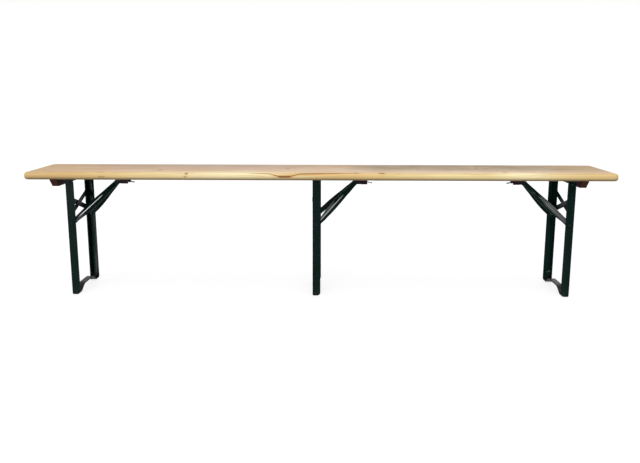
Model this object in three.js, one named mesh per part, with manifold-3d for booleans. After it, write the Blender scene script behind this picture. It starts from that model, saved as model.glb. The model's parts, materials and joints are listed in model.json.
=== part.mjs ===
// Folding bench: a wooden seat board on three folding frames of steel angle.
// Lengths are in millimetres. +X runs along the seat, -Y is the front and +Z is up.
// The origin is on the floor, under the middle of the seat.

import * as THREE from 'three';
import { mergeVertices } from 'three/addons/utils/BufferGeometryUtils.js';
import Module from 'manifold-3d';

const wasm = await Module();
wasm.setup();

// Clearances and modelling tolerances
const fitGap = 0.3;
const cutOverrun = 5;
const weldTolerance = 0.0005;

// Seat board
const seatLength = 2200;
const seatDepth = 250;
const seatHeight = 480;
const boardThickness = 27;
const boardEdgeRadius = 9;
const boardCornerRadius = 22;
const boardUnderside = seatHeight - boardThickness;

// Wooden battens across the underside, one near each end
const battenEndInset = 104;
const battenWidth = 25;
const battenHeight = 28;
const battenShift = -6;
const battenEdgeInset = 5;
const battenEndSlant = 22;
const battenScrewSpacing = 80;
const battenTopY = seatDepth / 2 - battenEdgeInset;
const battenBottomY = battenTopY - battenEndSlant;

// Where the folding frames stand
const endFrameInset = 145;
const middleFrameOffset = 26;
const frameEdgeInset = 31;

// Uprights of steel angle, open towards the brace
const angleWidth = 30;
const angleReturn = 20;
const angleWall = 3;
const uprightTopGap = 2;
const footToeRadius = 13;
const footHeelRadius = 5;
const uprightTop = boardUnderside - uprightTopGap;
const hingeU = angleWidth / 2;
const hingeZ = uprightTop - angleWidth / 2;
const flangeOuterY = seatDepth / 2 - frameEdgeInset;
const flangeInnerY = flangeOuterY - angleWall;

// Crossed flat bars that brace the uprights against each other
const barWidth = 20;
const barThickness = 3;
const crossDrop = 94;
const crossHalfRise = 37;
const lappedBarInset = 3;
const lappedBarOuterU = angleWall + fitGap;
const lappedBarInnerU = lappedBarOuterU + barThickness;
const lappedBarReach = flangeInnerY - lappedBarInset;

// Arched foot bar between the uprights
const footBarWidth = 23;
const footBarThickness = 5;
const footBarArchHeight = 30;
const footPadLength = 6;
const footArchRun = 53;
const footArchSteps = 10;
const footBarEndY = flangeInnerY - fitGap;
const footArchFootY = footBarEndY - footPadLength;
const footArchTopY = footArchFootY - footArchRun;

// Hinge brackets under the board
const bracketWall = 3;
const bracketDepth = 40;
const earClearance = 1;
const bracketScrewInset = 8;
const bracketScrewPitch = 18;
const earOuterY = flangeInnerY - fitGap;
const earInnerY = earOuterY - bracketWall;
const earHalfWidth = angleWidth / 2 - angleWall - earClearance;
const bracketTop = boardUnderside - fitGap;
const bracketInnerY = earOuterY - bracketDepth;

// Rivets that the frames and the braces turn on
const hingeRivetRadius = 4;
const braceRivetRadius = 3.5;
const rivetHeadOverlap = 3;
const rivetDomeHeight = 3;
const rivetTailHeight = 2.2;

// Folding brace: two arms that meet at one cross pin
const braceDrop = 156;
const braceWidth = 18;
const braceLaneGap = 0.7;
const armWall = 2.5;
const armStraightLength = 30;
const armApexLength = 20.6;
const armApexOuterY = 12;
const gutterLean = THREE.MathUtils.degToRad(45);
const gutterRadius = 4;
const gutterRun = 24;
const gutterYokeGap = 6;
const gutterRunSteps = 4;
const gutterWidthSteps = 8;
const armFlare = 4;
const armFlareGap = 3;
const armFlareRun = 63;
const armNarrowingLength = 100;
const armFlareSteps = 5;
const yokeThickness = 3;
const yokeLength = 34;
const yokePinGap = 8;
const yokeTopInset = 3;
const bracePinRadius = 3;
const bracePinStickOut = 1;

// Catch under the board that holds the brace's cross pin
const catchReach = 172;
const catchPinDrop = 17;
const catchPlateThickness = 2;
const catchPlateAhead = 36;
const catchBehind = 38;
const catchPlateHalfDepth = 30;
const catchHeight = 31;
const cheekWall = 1.5;
const cheekGap = 1;
const cheekTopAhead = 18;
const cheekBottomAhead = 2;
const guardWall = 2;
const guardTopAhead = 4;
const guardBottomBehind = 13;
const slotGap = 0.4;
const catchScrewHalfSpacing = 24;
const catchScrewAhead = 12;
const catchScrewInset = 12;
const catchPlateStart = catchReach - catchPlateAhead;
const catchEnd = catchReach + catchBehind;
const cheekTopStart = catchReach - cheekTopAhead;
const cheekBottomStart = catchReach - cheekBottomAhead;
const guardTopStart = catchReach - guardTopAhead;
const guardBottomStart = catchReach + guardBottomBehind;
const catchScrewFrontU = catchReach - catchScrewAhead;

// Spring lever of the catch
const leverRivetAhead = 27;
const leverRivetU = catchReach - leverRivetAhead;
const leverRivetRadius = 2.2;
const leverRivetHeadRadius = 4.5;
const leverRivetHeadHeight = 1.7;
const leverRivetSinkRadius = 4;
const leverRivetSinkDepth = 1.5;
const leverThickness = 1.5;
const leverWidth = 14;
const leverRootLength = 7;
const leverFlatLength = 4;
const leverSwingGap = 0.5;
const leverPinGap = 1;
const leverTipRadius = 1.7;

// Holes for the wood screws that hold everything to the board
const screwHoleRadius = 2.3;
const pilotDepth = 15;

// Angles of the frame's fold, in degrees
const leverNoseTurn = 1.7;
const leverTailTurns = [7, 14];
const slotTurnStep = 1;
const slotLipTurn = 3;

// Facets of round shapes
const edgeSegments = 4;
const arcSegments = 5;
const pinSegments = 16;
const holeSegments = 10;

// Heights and radii of a rivet head's rounding, as parts of its own
const domeRimShare = 0.4;
const domeShoulderShare = 0.75;
const domeCrownShare = 0.4;

// The brace's triangle at rest
const braceHingeU = lappedBarInnerU + braceLaneGap + braceWidth / 2;
const braceHingeZ = hingeZ - braceDrop;
const pinU = catchReach;
const pinZ = boardUnderside - catchPinDrop;
const braceSlope = Math.atan2(pinZ - braceHingeZ, pinU - braceHingeU);
const armLength = Math.hypot(pinZ - braceHingeZ, pinU - braceHingeU);
const foldTurn = Math.PI / 2;
const braceTurnRatio = (foldTurn + braceSlope) / foldTurn;
const armLugOuterY = flangeInnerY - fitGap;
const armApexStart = armLength - armApexLength;

const pine = new THREE.MeshStandardMaterial({ color: 0xd3b58c, roughness: 0.5, metalness: 0 });
const brownBatten = new THREE.MeshStandardMaterial({ color: 0x4a2c20, roughness: 0.6, metalness: 0 });
const greenPaint = new THREE.MeshStandardMaterial({ color: 0x0f1e1c, roughness: 0.35, metalness: 0.2 });
const darkSteel = new THREE.MeshStandardMaterial({ color: 0x2a2228, roughness: 0.45, metalness: 0.6 });
const springSteel = new THREE.MeshStandardMaterial({ color: 0x3c3c40, roughness: 0.4, metalness: 0.8 });
const rivetPaint = new THREE.MeshStandardMaterial({ color: 0x1a2624, roughness: 0.4, metalness: 0.4 });

// Turns a closed three.js geometry into a solid that can be joined and cut.
function solidOf(geometry) {
  const bare = geometry.clone();
  bare.deleteAttribute('normal');
  bare.deleteAttribute('uv');
  const merged = mergeVertices(bare, weldTolerance);
  const corners = merged.index.array;
  const kept = [];
  for (let i = 0; i < corners.length; i += 3) {
    const [a, b, c] = [corners[i], corners[i + 1], corners[i + 2]];
    if (a !== b && b !== c && c !== a) {
      kept.push(a, b, c);
    }
  }
  const mesh = new wasm.Mesh({
    numProp: 3,
    vertProperties: new Float32Array(merged.attributes.position.array),
    triVerts: new Uint32Array(kept),
  });
  return new wasm.Manifold(mesh);
}

function geometryOf(solid) {
  const mesh = solid.getMesh();
  const geometry = new THREE.BufferGeometry();
  geometry.setAttribute('position', new THREE.BufferAttribute(mesh.vertProperties, 3));
  geometry.setIndex(new THREE.BufferAttribute(mesh.triVerts, 1));
  return geometry;
}

function join(...geometries) {
  return geometryOf(geometries.map(solidOf).reduce((sum, next) => sum.add(next)));
}

function cut(geometry, ...tools) {
  return geometryOf(tools.map(solidOf).reduce((rest, tool) => rest.subtract(tool), solidOf(geometry)));
}

function common(first, second) {
  return geometryOf(solidOf(first).intersect(solidOf(second)));
}

function box(x0, x1, y0, y1, z0, z1) {
  const geometry = new THREE.BoxGeometry(x1 - x0, y1 - y0, z1 - z0);
  return geometry.translate((x0 + x1) / 2, (y0 + y1) / 2, (z0 + z1) / 2);
}

function extrude(shape, depth) {
  return new THREE.ExtrudeGeometry(shape, { depth, bevelEnabled: false, curveSegments: arcSegments });
}

// A plate whose outline is drawn in X and Y.
function plateXY(shape, z0, z1) {
  return extrude(shape, z1 - z0).translate(0, 0, z0);
}

// A plate whose outline is drawn in X and Z.
function plateXZ(shape, y0, y1) {
  return extrude(shape, y1 - y0).rotateX(Math.PI / 2).translate(0, y1, 0);
}

// A plate whose outline is drawn in Y and Z.
function plateYZ(shape, x0, x1) {
  const turn = new THREE.Matrix4().makeBasis(
    new THREE.Vector3(0, 1, 0),
    new THREE.Vector3(0, 0, 1),
    new THREE.Vector3(1, 0, 0),
  );
  return extrude(shape, x1 - x0).applyMatrix4(turn).translate(x0, 0, 0);
}

// The two distances from the middle plane, sorted for the front (-1) or the back (1).
function sidePair(side, inner, outer) {
  return side < 0 ? [-outer, -inner] : [inner, outer];
}

function polygon(points) {
  return new THREE.Shape(points.map(([x, y]) => new THREE.Vector2(x, y)));
}

// Outline of a strip of even thickness along a bent centre line, mitred at its bends.
function stripShape(line, thickness) {
  const points = line.map(([x, y]) => new THREE.Vector2(x, y));
  const runs = points.slice(1).map((point, i) => point.clone().sub(points[i]).normalize());
  const left = [];
  const right = [];
  points.forEach((point, i) => {
    const before = runs[Math.max(i - 1, 0)];
    const after = runs[Math.min(i, runs.length - 1)];
    const mean = before.clone().add(after).normalize();
    const reach = thickness / 2 / mean.dot(after);
    const offset = new THREE.Vector2(-mean.y, mean.x).multiplyScalar(reach);
    left.push(point.clone().add(offset));
    right.unshift(point.clone().sub(offset));
  });
  return new THREE.Shape([...left, ...right]);
}

function rodAlongY(radius, y0, y1, x, z) {
  const rod = new THREE.CylinderGeometry(radius, radius, y1 - y0, pinSegments);
  return rod.translate(x, (y0 + y1) / 2, z);
}

function rodAlongZ(radius, z0, z1, x, y) {
  const rod = new THREE.CylinderGeometry(radius, radius, z1 - z0, holeSegments).rotateX(Math.PI / 2);
  return rod.translate(x, y, (z0 + z1) / 2);
}

function lathe(profile, segments) {
  return new THREE.LatheGeometry(profile.map(([r, h]) => new THREE.Vector2(r, h)), segments);
}

// Where the brace's cross pin stands after the frame has folded by an angle in degrees.
function pinPoint(degrees) {
  const turn = THREE.MathUtils.degToRad(degrees);
  const arm = new THREE.Vector2(braceHingeU - hingeU, braceHingeZ - hingeZ);
  arm.rotateAround(new THREE.Vector2(), turn);
  const heading = braceSlope + turn * (1 - braceTurnRatio);
  const reach = new THREE.Vector2(Math.cos(heading), Math.sin(heading)).multiplyScalar(armLength);
  return new THREE.Vector2(hingeU, hingeZ).add(arm).add(reach);
}

// A point beside the pin's path, at a distance on its upper (+) or lower (-) side.
function besidePath(degrees, distance) {
  const along = pinPoint(degrees + slotTurnStep / 2).sub(pinPoint(degrees - slotTurnStep / 2)).normalize();
  const normal = new THREE.Vector2(-along.y, along.x);
  const point = pinPoint(degrees).add(normal.multiplyScalar(distance));
  return [point.x, point.y];
}

// Seat board, with a blind pilot hole for every screw
const screwPlaces = [];

function seatBoard() {
  const [x, y, r] = [seatLength / 2, seatDepth / 2, boardCornerRadius];
  const outline = new THREE.Shape();
  outline.moveTo(r - x, -y);
  outline.absarc(x - r, r - y, r, -Math.PI / 2, 0, false);
  outline.absarc(x - r, y - r, r, 0, Math.PI / 2, false);
  outline.absarc(r - x, y - r, r, Math.PI / 2, Math.PI, false);
  outline.absarc(r - x, r - y, r, Math.PI, Math.PI * 3 / 2, false);
  outline.closePath();
  const slab = new THREE.ExtrudeGeometry(outline, {
    depth: boardThickness - 2 * boardEdgeRadius,
    bevelThickness: boardEdgeRadius,
    bevelSize: boardEdgeRadius,
    bevelOffset: -boardEdgeRadius,
    bevelSegments: edgeSegments,
    curveSegments: arcSegments,
  });
  slab.translate(0, 0, boardUnderside + boardEdgeRadius);
  const holes = screwPlaces.map(([sx, sy]) =>
    rodAlongZ(screwHoleRadius, boardUnderside - cutOverrun, boardUnderside + pilotDepth, sx, sy));
  return cut(slab, ...holes);
}

function screwHole(x, y, z0, z1) {
  return rodAlongZ(screwHoleRadius, z0 - cutOverrun, z1 + cutOverrun, x, y);
}

// Battens
const battenScrewYs = [-battenScrewSpacing, 0, battenScrewSpacing];
const battenTop = boardUnderside - fitGap;
const battenBottom = boardUnderside - battenHeight;

function endBatten(x0, x1) {
  const outline = polygon([
    [-battenTopY, battenTop],
    [-battenBottomY, battenBottom],
    [battenBottomY, battenBottom],
    [battenTopY, battenTop],
  ]);
  const x = (x0 + x1) / 2;
  const holes = battenScrewYs.map((y) => screwHole(x, y, battenBottom, battenTop));
  return cut(plateYZ(outline, x0, x1), ...holes);
}

// Uprights
function uprightOutline() {
  const outline = new THREE.Shape();
  outline.moveTo(footHeelRadius, 0);
  outline.absarc(angleWidth - footToeRadius, footToeRadius, footToeRadius, -Math.PI / 2, 0, false);
  outline.absarc(hingeU, hingeZ, angleWidth / 2, 0, Math.PI / 2, false);
  outline.lineTo(0, uprightTop);
  outline.absarc(footHeelRadius, footHeelRadius, footHeelRadius, Math.PI, Math.PI * 3 / 2, false);
  return outline;
}

function upright(side) {
  const heelY = side * flangeOuterY;
  const innerY = side * flangeInnerY;
  const returnY = side * (flangeOuterY - angleReturn);
  const section = polygon([
    [0, heelY],
    [angleWidth, heelY],
    [angleWidth, innerY],
    [angleWall, innerY],
    [angleWall, returnY],
    [0, returnY],
  ]);
  const [y0, y1] = sidePair(side, flangeOuterY - angleReturn - cutOverrun, flangeOuterY + cutOverrun);
  const angle = common(plateXY(section, 0, uprightTop), plateXZ(uprightOutline(), y0, y1));
  const [h0, h1] = sidePair(side, flangeInnerY - cutOverrun, flangeOuterY + cutOverrun);
  return cut(
    angle,
    rodAlongY(hingeRivetRadius + fitGap, h0, h1, hingeU, hingeZ),
    rodAlongY(braceRivetRadius + fitGap, h0, h1, braceHingeU, braceHingeZ),
  );
}

// Crossed bars: a bar from low at one side to high at the other, with upright ends.
function crossBar(rising, reach, x0, x1) {
  const middle = hingeZ - crossDrop;
  const rise = rising * crossHalfRise * reach / lappedBarReach;
  const half = barWidth / 2 / Math.cos(Math.atan2(rise, reach));
  const outline = polygon([
    [-reach, middle - rise - half],
    [reach, middle + rise - half],
    [reach, middle + rise + half],
    [-reach, middle - rise + half],
  ]);
  return plateYZ(outline, x0, x1);
}

// Foot bar: flat on the floor at both uprights, arched in the middle, and cut with the uprights' toes.
function footBar() {
  const low = footBarThickness / 2;
  const high = footBarArchHeight - footBarThickness / 2;
  const half = [];
  for (let i = 0; i <= footArchSteps; i += 1) {
    const share = i / footArchSteps;
    const y = footArchFootY + (footArchTopY - footArchFootY) * share;
    half.push([y, low + (high - low) * THREE.MathUtils.smoothstep(share, 0, 1)]);
  }
  const ends = [[footBarEndY, low], ...half];
  const line = [...ends.map(([y, z]) => [-y, z]), ...ends.reverse()];
  const bar = plateYZ(stripShape(line, footBarThickness), lappedBarOuterU, lappedBarOuterU + footBarWidth);
  return common(bar, plateXZ(uprightOutline(), -flangeOuterY, flangeOuterY));
}

// Hinge bracket: an ear beside the upright, bent into a base under the board.
const bracketScrewYs = [0, 1].map((i) => bracketInnerY + bracketScrewInset + i * bracketScrewPitch);

function hingeBracket(side) {
  const ear = new THREE.Shape();
  ear.moveTo(hingeU - earHalfWidth, bracketTop);
  ear.absarc(hingeU, hingeZ, earHalfWidth, Math.PI, Math.PI * 2, false);
  ear.lineTo(hingeU + earHalfWidth, bracketTop);
  const [e0, e1] = sidePair(side, earInnerY, earOuterY);
  const [b0, b1] = sidePair(side, bracketInnerY, earOuterY);
  const baseBottom = bracketTop - bracketWall;
  const base = box(hingeU - earHalfWidth, hingeU + earHalfWidth, b0, b1, baseBottom, bracketTop);
  const holes = bracketScrewYs.map((y) => screwHole(hingeU, side * y, baseBottom, bracketTop));
  const [h0, h1] = sidePair(side, earInnerY - cutOverrun, earOuterY + cutOverrun);
  return cut(
    join(plateXZ(ear, e0, e1), base),
    rodAlongY(hingeRivetRadius + fitGap, h0, h1, hingeU, hingeZ),
    ...holes,
  );
}

// A rivet across a lapped joint, from the inner face of one plate to the outer face of the other.
function rivet(side, radius, u, z, innerY, outerY) {
  const head = radius + rivetHeadOverlap;
  const tail = innerY - fitGap;
  const dome = outerY + fitGap;
  const profile = [
    [0, tail - rivetTailHeight],
    [head * domeShoulderShare, tail - rivetTailHeight],
    [head, tail - rivetTailHeight * domeRimShare],
    [head, tail],
    [radius, tail],
    [radius, dome],
    [head, dome],
    [head * domeShoulderShare, dome + rivetDomeHeight * domeShoulderShare],
    [head * domeCrownShare, dome + rivetDomeHeight],
    [0, dome + rivetDomeHeight],
  ];
  const geometry = lathe(profile, pinSegments);
  if (side < 0) {
    geometry.rotateZ(Math.PI);
  }
  return geometry.translate(u, 0, z);
}

// Brace arms, drawn with X along the arm and Z across it
const armLugY = armLugOuterY - armWall / 2;
const armInnerY = armLugOuterY - armWall;
const armApexY = armApexOuterY - armWall / 2;

function armCentreY(s) {
  const share = (s - armStraightLength) / (armApexStart - armStraightLength);
  return THREE.MathUtils.lerp(armLugY, armApexY, THREE.MathUtils.clamp(share, 0, 1));
}

// Each arm is flat at both ends, with a gutter pressed into it between them, its ridge on the outside.
const gutterEnd = armLength - yokePinGap - yokeLength - gutterYokeGap;
const gutterRunShares = Array.from({ length: gutterRunSteps + 1 }, (_, i) => i / gutterRunSteps);
const gutterStations = [
  ...gutterRunShares.map((share) => armStraightLength + share * gutterRun),
  ...gutterRunShares.map((share) => gutterEnd - (1 - share) * gutterRun),
];

function gutterDepth(s) {
  const rise = THREE.MathUtils.smoothstep(s, armStraightLength, armStraightLength + gutterRun);
  const fall = THREE.MathUtils.smoothstep(s, gutterEnd - gutterRun, gutterEnd);
  return rise - fall;
}

// Seen from the front, each arm widens gently from its hinge and narrows again towards the pin.
const armFlareStart = braceWidth / 2 + armFlareGap;
const armWidest = armFlareStart + armFlareRun;
const armNarrowingStart = armApexStart - armNarrowingLength;
const armFlareShares = Array.from({ length: armFlareSteps + 1 }, (_, i) => i / armFlareSteps);
const armFlareStations = [
  ...armFlareShares.map((share) => armFlareStart + share * armFlareRun),
  ...armFlareShares.map((share) => armNarrowingStart + share * armNarrowingLength),
];

function armHalfWidth(s) {
  const widening = THREE.MathUtils.smoothstep(s, armFlareStart, armWidest);
  const narrowing = THREE.MathUtils.smoothstep(s, armNarrowingStart, armApexStart);
  return braceWidth / 2 + armFlare * (widening - narrowing);
}

function armOutline() {
  const half = braceWidth / 2;
  const outline = new THREE.Shape();
  outline.absarc(0, 0, half, Math.PI / 2, Math.PI * 3 / 2, false);
  armFlareStations.forEach((s) => outline.lineTo(s, -armHalfWidth(s)));
  outline.absarc(armLength, 0, half, -Math.PI / 2, Math.PI / 2, false);
  armFlareStations.toReversed().forEach((s) => outline.lineTo(s, armHalfWidth(s)));
  outline.closePath();
  return outline;
}

// Leans the two halves of a strip inwards, away from the ridge along its middle.
function pressGutter(geometry, side) {
  const places = geometry.attributes.position;
  for (let i = 0; i < places.count; i += 1) {
    const fromRidge = Math.hypot(places.getZ(i), gutterRadius) - gutterRadius;
    const inwards = Math.tan(gutterLean) * gutterDepth(places.getX(i)) * fromRidge;
    places.setY(i, places.getY(i) - side * inwards);
  }
  return geometry;
}

function braceArm(side) {
  const half = braceWidth / 2;
  const stations = [-half - cutOverrun, ...gutterStations, armApexStart, armLength + half + cutOverrun];
  const line = stations.map((s) => [s, side * armCentreY(s)]);
  const outer = armLugOuterY + cutOverrun;
  const depth = 2 * (half + armFlare + cutOverrun);
  const settings = { depth, steps: gutterWidthSteps, bevelEnabled: false };
  const strip = new THREE.ExtrudeGeometry(stripShape(line, armWall), settings).translate(0, 0, -depth / 2);
  const [l0, l1] = sidePair(side, armLugY - armWall - cutOverrun, outer);
  const [p0, p1] = sidePair(side, armApexY - armWall - cutOverrun, armApexY + armWall + cutOverrun);
  return cut(
    common(pressGutter(strip, side), plateXZ(armOutline(), -outer, outer)),
    rodAlongY(braceRivetRadius + fitGap, l0, l1, 0, 0),
    rodAlongY(bracePinRadius + fitGap, p0, p1, armLength, 0),
  );
}

// Yoke plate welded between the arms, near their upper edges.
function braceYoke() {
  const end = armLength - yokePinGap;
  const stations = [end - yokeLength, armApexStart, end];
  const edge = stations.map((s) => [s, armCentreY(s) - armWall / 2 - 2 * fitGap]);
  const outline = polygon([...edge, ...edge.map(([s, y]) => [s, -y]).reverse()]);
  const top = braceWidth / 2 - yokeTopInset;
  return plateXY(outline, top - yokeThickness, top);
}

const cheekInnerY = armApexOuterY + cheekGap;
const cheekOuterY = cheekInnerY + cheekWall;
const bracePinHalfLength = cheekOuterY + bracePinStickOut;

function bracePin() {
  return rodAlongY(bracePinRadius, -bracePinHalfLength, bracePinHalfLength, armLength, 0);
}

// Catch housing: a base plate with two cheeks, slotted along the pin's path, and a guard outside each.
const catchTop = boardUnderside - fitGap;
const catchPlateBottom = catchTop - catchPlateThickness;
const catchBottom = boardUnderside - catchHeight;
const catchScrewUs = [catchScrewFrontU, catchEnd - catchScrewInset];
const catchScrewYs = [-catchScrewHalfSpacing, catchScrewHalfSpacing];
const guardInnerY = bracePinHalfLength + 2 * fitGap;

// The slot is closed below up to its lip, and open from there on.
function pinSlot() {
  const half = bracePinRadius + slotGap;
  const lower = [];
  const upper = [];
  let turn = 0;
  while (turn === 0 || pinPoint(turn).x < catchEnd + cutOverrun) {
    lower.push(turn > slotLipTurn ? [pinPoint(turn).x, catchBottom - cutOverrun] : besidePath(turn, -half));
    upper.unshift(besidePath(turn, half));
    turn += slotTurnStep;
  }
  const heading = pinPoint(slotTurnStep / 2).sub(pinPoint(-slotTurnStep / 2)).angle();
  const slot = polygon([...lower, ...upper]);
  slot.absarc(pinU, pinZ, half, heading + Math.PI / 2, heading + Math.PI * 3 / 2, false);
  return slot;
}

function catchHousing() {
  const plate = box(
    catchPlateStart, catchEnd, -catchPlateHalfDepth, catchPlateHalfDepth, catchPlateBottom, catchTop,
  );
  const cheek = polygon([
    [cheekTopStart, catchTop],
    [cheekBottomStart, catchBottom],
    [catchEnd, catchBottom],
    [catchEnd, catchTop],
  ]);
  const guard = polygon([
    [guardTopStart, catchTop],
    [guardBottomStart, catchBottom],
    [catchEnd, catchBottom],
    [catchEnd, catchTop],
  ]);
  const slot = plateXZ(pinSlot(), -bracePinHalfLength, bracePinHalfLength);
  const cheekAt = (side) => plateXZ(cheek, ...sidePair(side, cheekInnerY, cheekOuterY));
  const guardAt = (side) => plateXZ(guard, ...sidePair(side, guardInnerY, guardInnerY + guardWall));
  const holes = catchScrewUs.flatMap((u) =>
    catchScrewYs.map((y) => screwHole(u, y, catchPlateBottom, catchTop)));
  const rivetHole = [
    [0, catchPlateBottom - cutOverrun],
    [leverRivetRadius + fitGap, catchPlateBottom - cutOverrun],
    [leverRivetRadius + fitGap, catchTop - leverRivetSinkDepth],
    [leverRivetSinkRadius + fitGap, catchTop],
    [leverRivetSinkRadius + fitGap, catchTop + cutOverrun],
    [0, catchTop + cutOverrun],
  ];
  return cut(
    join(plate, cut(cheekAt(-1), slot), cut(cheekAt(1), slot), guardAt(-1), guardAt(1)),
    lathe(rivetHole, holeSegments).rotateX(Math.PI / 2).translate(leverRivetU, 0, 0),
    ...holes,
  );
}

// Spring lever: riveted under the plate, its nose in front of the pin, its tail ending in a rolled tip.
const leverTop = catchPlateBottom - leverSwingGap;
const leverBottom = leverTop - leverThickness;

function catchLever() {
  const bottom = [
    [leverRivetU - leverRootLength, leverBottom],
    [leverRivetU + leverFlatLength, leverBottom],
    [pinU, pinZ + bracePinRadius + leverPinGap],
    besidePath(leverNoseTurn, bracePinRadius + leverSwingGap),
    ...leverTailTurns.map((turn) => besidePath(turn, bracePinRadius + leverSwingGap)),
  ];
  const top = bottom.map(([u, z]) => [u, z + leverThickness]).reverse();
  const leaf = plateXZ(polygon([...bottom, ...top]), -leverWidth / 2, leverWidth / 2);
  const hole = rodAlongZ(
    leverRivetRadius + leverSwingGap, leverBottom - cutOverrun, leverTop + cutOverrun, leverRivetU, 0,
  );
  const [tipU, tipZ] = bottom.at(-1);
  const tipHalfWidth = leverWidth / 2 - leverSwingGap;
  const rolledTip = rodAlongY(leverTipRadius, -tipHalfWidth, tipHalfWidth, tipU, tipZ + leverThickness);
  return cut(join(leaf, rolledTip), hole);
}

function leverRivet() {
  const headTop = leverBottom - leverSwingGap;
  const profile = [
    [0, headTop - leverRivetHeadHeight],
    [leverRivetHeadRadius * domeShoulderShare, headTop - leverRivetHeadHeight],
    [leverRivetHeadRadius, headTop - leverRivetHeadHeight * domeRimShare],
    [leverRivetHeadRadius, headTop],
    [leverRivetRadius, headTop],
    [leverRivetRadius, catchTop - leverRivetSinkDepth],
    [leverRivetSinkRadius, catchTop],
    [0, catchTop],
  ];
  return lathe(profile, holeSegments).rotateX(Math.PI / 2).translate(leverRivetU, 0, 0);
}

// The whole bench
const bench = new THREE.Group();

function addMesh(parent, name, geometry, material) {
  const mesh = new THREE.Mesh(geometry, material.clone());
  mesh.name = name;
  parent.add(mesh);
}

// One folding frame, drawn from its outer face towards its brace.
function addFrame(label, x, turned) {
  const frame = new THREE.Group();
  frame.position.x = x;
  frame.rotation.z = turned ? Math.PI : 0;
  bench.add(frame);
  const sign = turned ? -1 : 1;
  const addScrewPlace = (u, y) => screwPlaces.push([x + sign * u, sign * y]);

  for (const side of [-1, 1]) {
    const face = side * sign < 0 ? 'front' : 'back';
    addMesh(frame, `upright_${face}_${label}`, upright(side), greenPaint);
    addMesh(frame, `hinge_bracket_${face}_${label}`, hingeBracket(side), greenPaint);
    addMesh(frame, `hinge_rivet_${face}_${label}`,
      rivet(side, hingeRivetRadius, hingeU, hingeZ, earInnerY, flangeOuterY), rivetPaint);
    addMesh(frame, `brace_rivet_${face}_${label}`,
      rivet(side, braceRivetRadius, braceHingeU, braceHingeZ, armInnerY, flangeOuterY), rivetPaint);
    bracketScrewYs.forEach((y) => addScrewPlace(hingeU, side * y));
  }
  addMesh(frame, `cross_bar_lapped_${label}`,
    crossBar(1, lappedBarReach, lappedBarOuterU, lappedBarInnerU), greenPaint);
  addMesh(frame, `cross_bar_butted_${label}`,
    crossBar(-1, flangeOuterY - angleReturn - fitGap, 0, barThickness), greenPaint);
  addMesh(frame, `foot_bar_${label}`, footBar(), greenPaint);

  const brace = new THREE.Group();
  brace.position.set(braceHingeU, 0, braceHingeZ);
  brace.rotation.y = -braceSlope;
  frame.add(brace);
  for (const side of [-1, 1]) {
    const face = side * sign < 0 ? 'front' : 'back';
    addMesh(brace, `brace_arm_${face}_${label}`, braceArm(side), greenPaint);
  }
  addMesh(brace, `brace_yoke_${label}`, braceYoke(), greenPaint);
  addMesh(brace, `brace_pin_${label}`, bracePin(), rivetPaint);

  addMesh(frame, `catch_housing_${label}`, catchHousing(), darkSteel);
  addMesh(frame, `catch_lever_${label}`, catchLever(), springSteel);
  addMesh(frame, `catch_rivet_${label}`, leverRivet(), rivetPaint);
  catchScrewUs.forEach((u) => catchScrewYs.forEach((y) => addScrewPlace(u, y)));
}

addFrame('left', endFrameInset - seatLength / 2, false);
addFrame('middle', -middleFrameOffset, false);
addFrame('right', seatLength / 2 - endFrameInset, true);

for (const [label, sign] of [['left', -1], ['right', 1]]) {
  const outer = sign * (seatLength / 2 - battenEndInset) + battenShift;
  const inner = outer - sign * battenWidth;
  const x = (outer + inner) / 2;
  const batten = endBatten(Math.min(outer, inner), Math.max(outer, inner));
  addMesh(bench, `end_batten_${label}`, batten, brownBatten);
  battenScrewYs.forEach((y) => screwPlaces.push([x, y]));
}

addMesh(bench, 'seat_board', seatBoard(), pine);

export default bench;
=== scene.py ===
# The looks of a folding bench: a varnished pine board, stained battens and green painted frames.
# Lengths are in metres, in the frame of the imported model: +X along the seat, -Y the front, +Z up.

import json
import math

import bmesh
import bpy
from mathutils import Matrix, Vector


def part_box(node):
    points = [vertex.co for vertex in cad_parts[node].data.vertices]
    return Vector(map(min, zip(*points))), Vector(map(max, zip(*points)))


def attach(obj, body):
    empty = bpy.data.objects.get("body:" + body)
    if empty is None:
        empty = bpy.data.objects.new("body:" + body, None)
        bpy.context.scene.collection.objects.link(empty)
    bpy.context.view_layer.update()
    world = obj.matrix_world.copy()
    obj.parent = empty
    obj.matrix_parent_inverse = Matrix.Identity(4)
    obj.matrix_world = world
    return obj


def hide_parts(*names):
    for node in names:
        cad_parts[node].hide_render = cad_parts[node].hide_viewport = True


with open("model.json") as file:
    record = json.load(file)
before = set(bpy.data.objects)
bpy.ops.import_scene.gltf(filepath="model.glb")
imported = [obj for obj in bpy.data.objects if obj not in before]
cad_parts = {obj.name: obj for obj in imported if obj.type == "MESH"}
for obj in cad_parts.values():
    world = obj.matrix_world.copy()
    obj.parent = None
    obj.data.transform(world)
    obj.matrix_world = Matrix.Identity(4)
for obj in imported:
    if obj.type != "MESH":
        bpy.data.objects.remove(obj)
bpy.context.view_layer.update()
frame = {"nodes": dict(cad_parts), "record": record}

MM = 0.001

# Which way each folding frame faces: +1 where its brace points to +X, -1 where it points to -X
FACING = {"left": 1, "middle": 1, "right": -1}

# Which way along Y each side of the bench lies
SIDES = {"front": -1, "back": 1}

# Camera, fitted to the photograph: place, turn in degrees, focal length and principal row in pixels
CAMERA_PLACE = Vector((0.028727, -2.203916, 0.792741))
CAMERA_YAW = -0.724
CAMERA_PITCH = 8.908
CAMERA_ROLL = 0.075
FOCAL_PIXELS = 572.957
PRINCIPAL_ROW = 177.083
PHOTO_WIDTH = 640
PHOTO_HEIGHT = 463
SENSOR_WIDTH = 36.0

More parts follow.
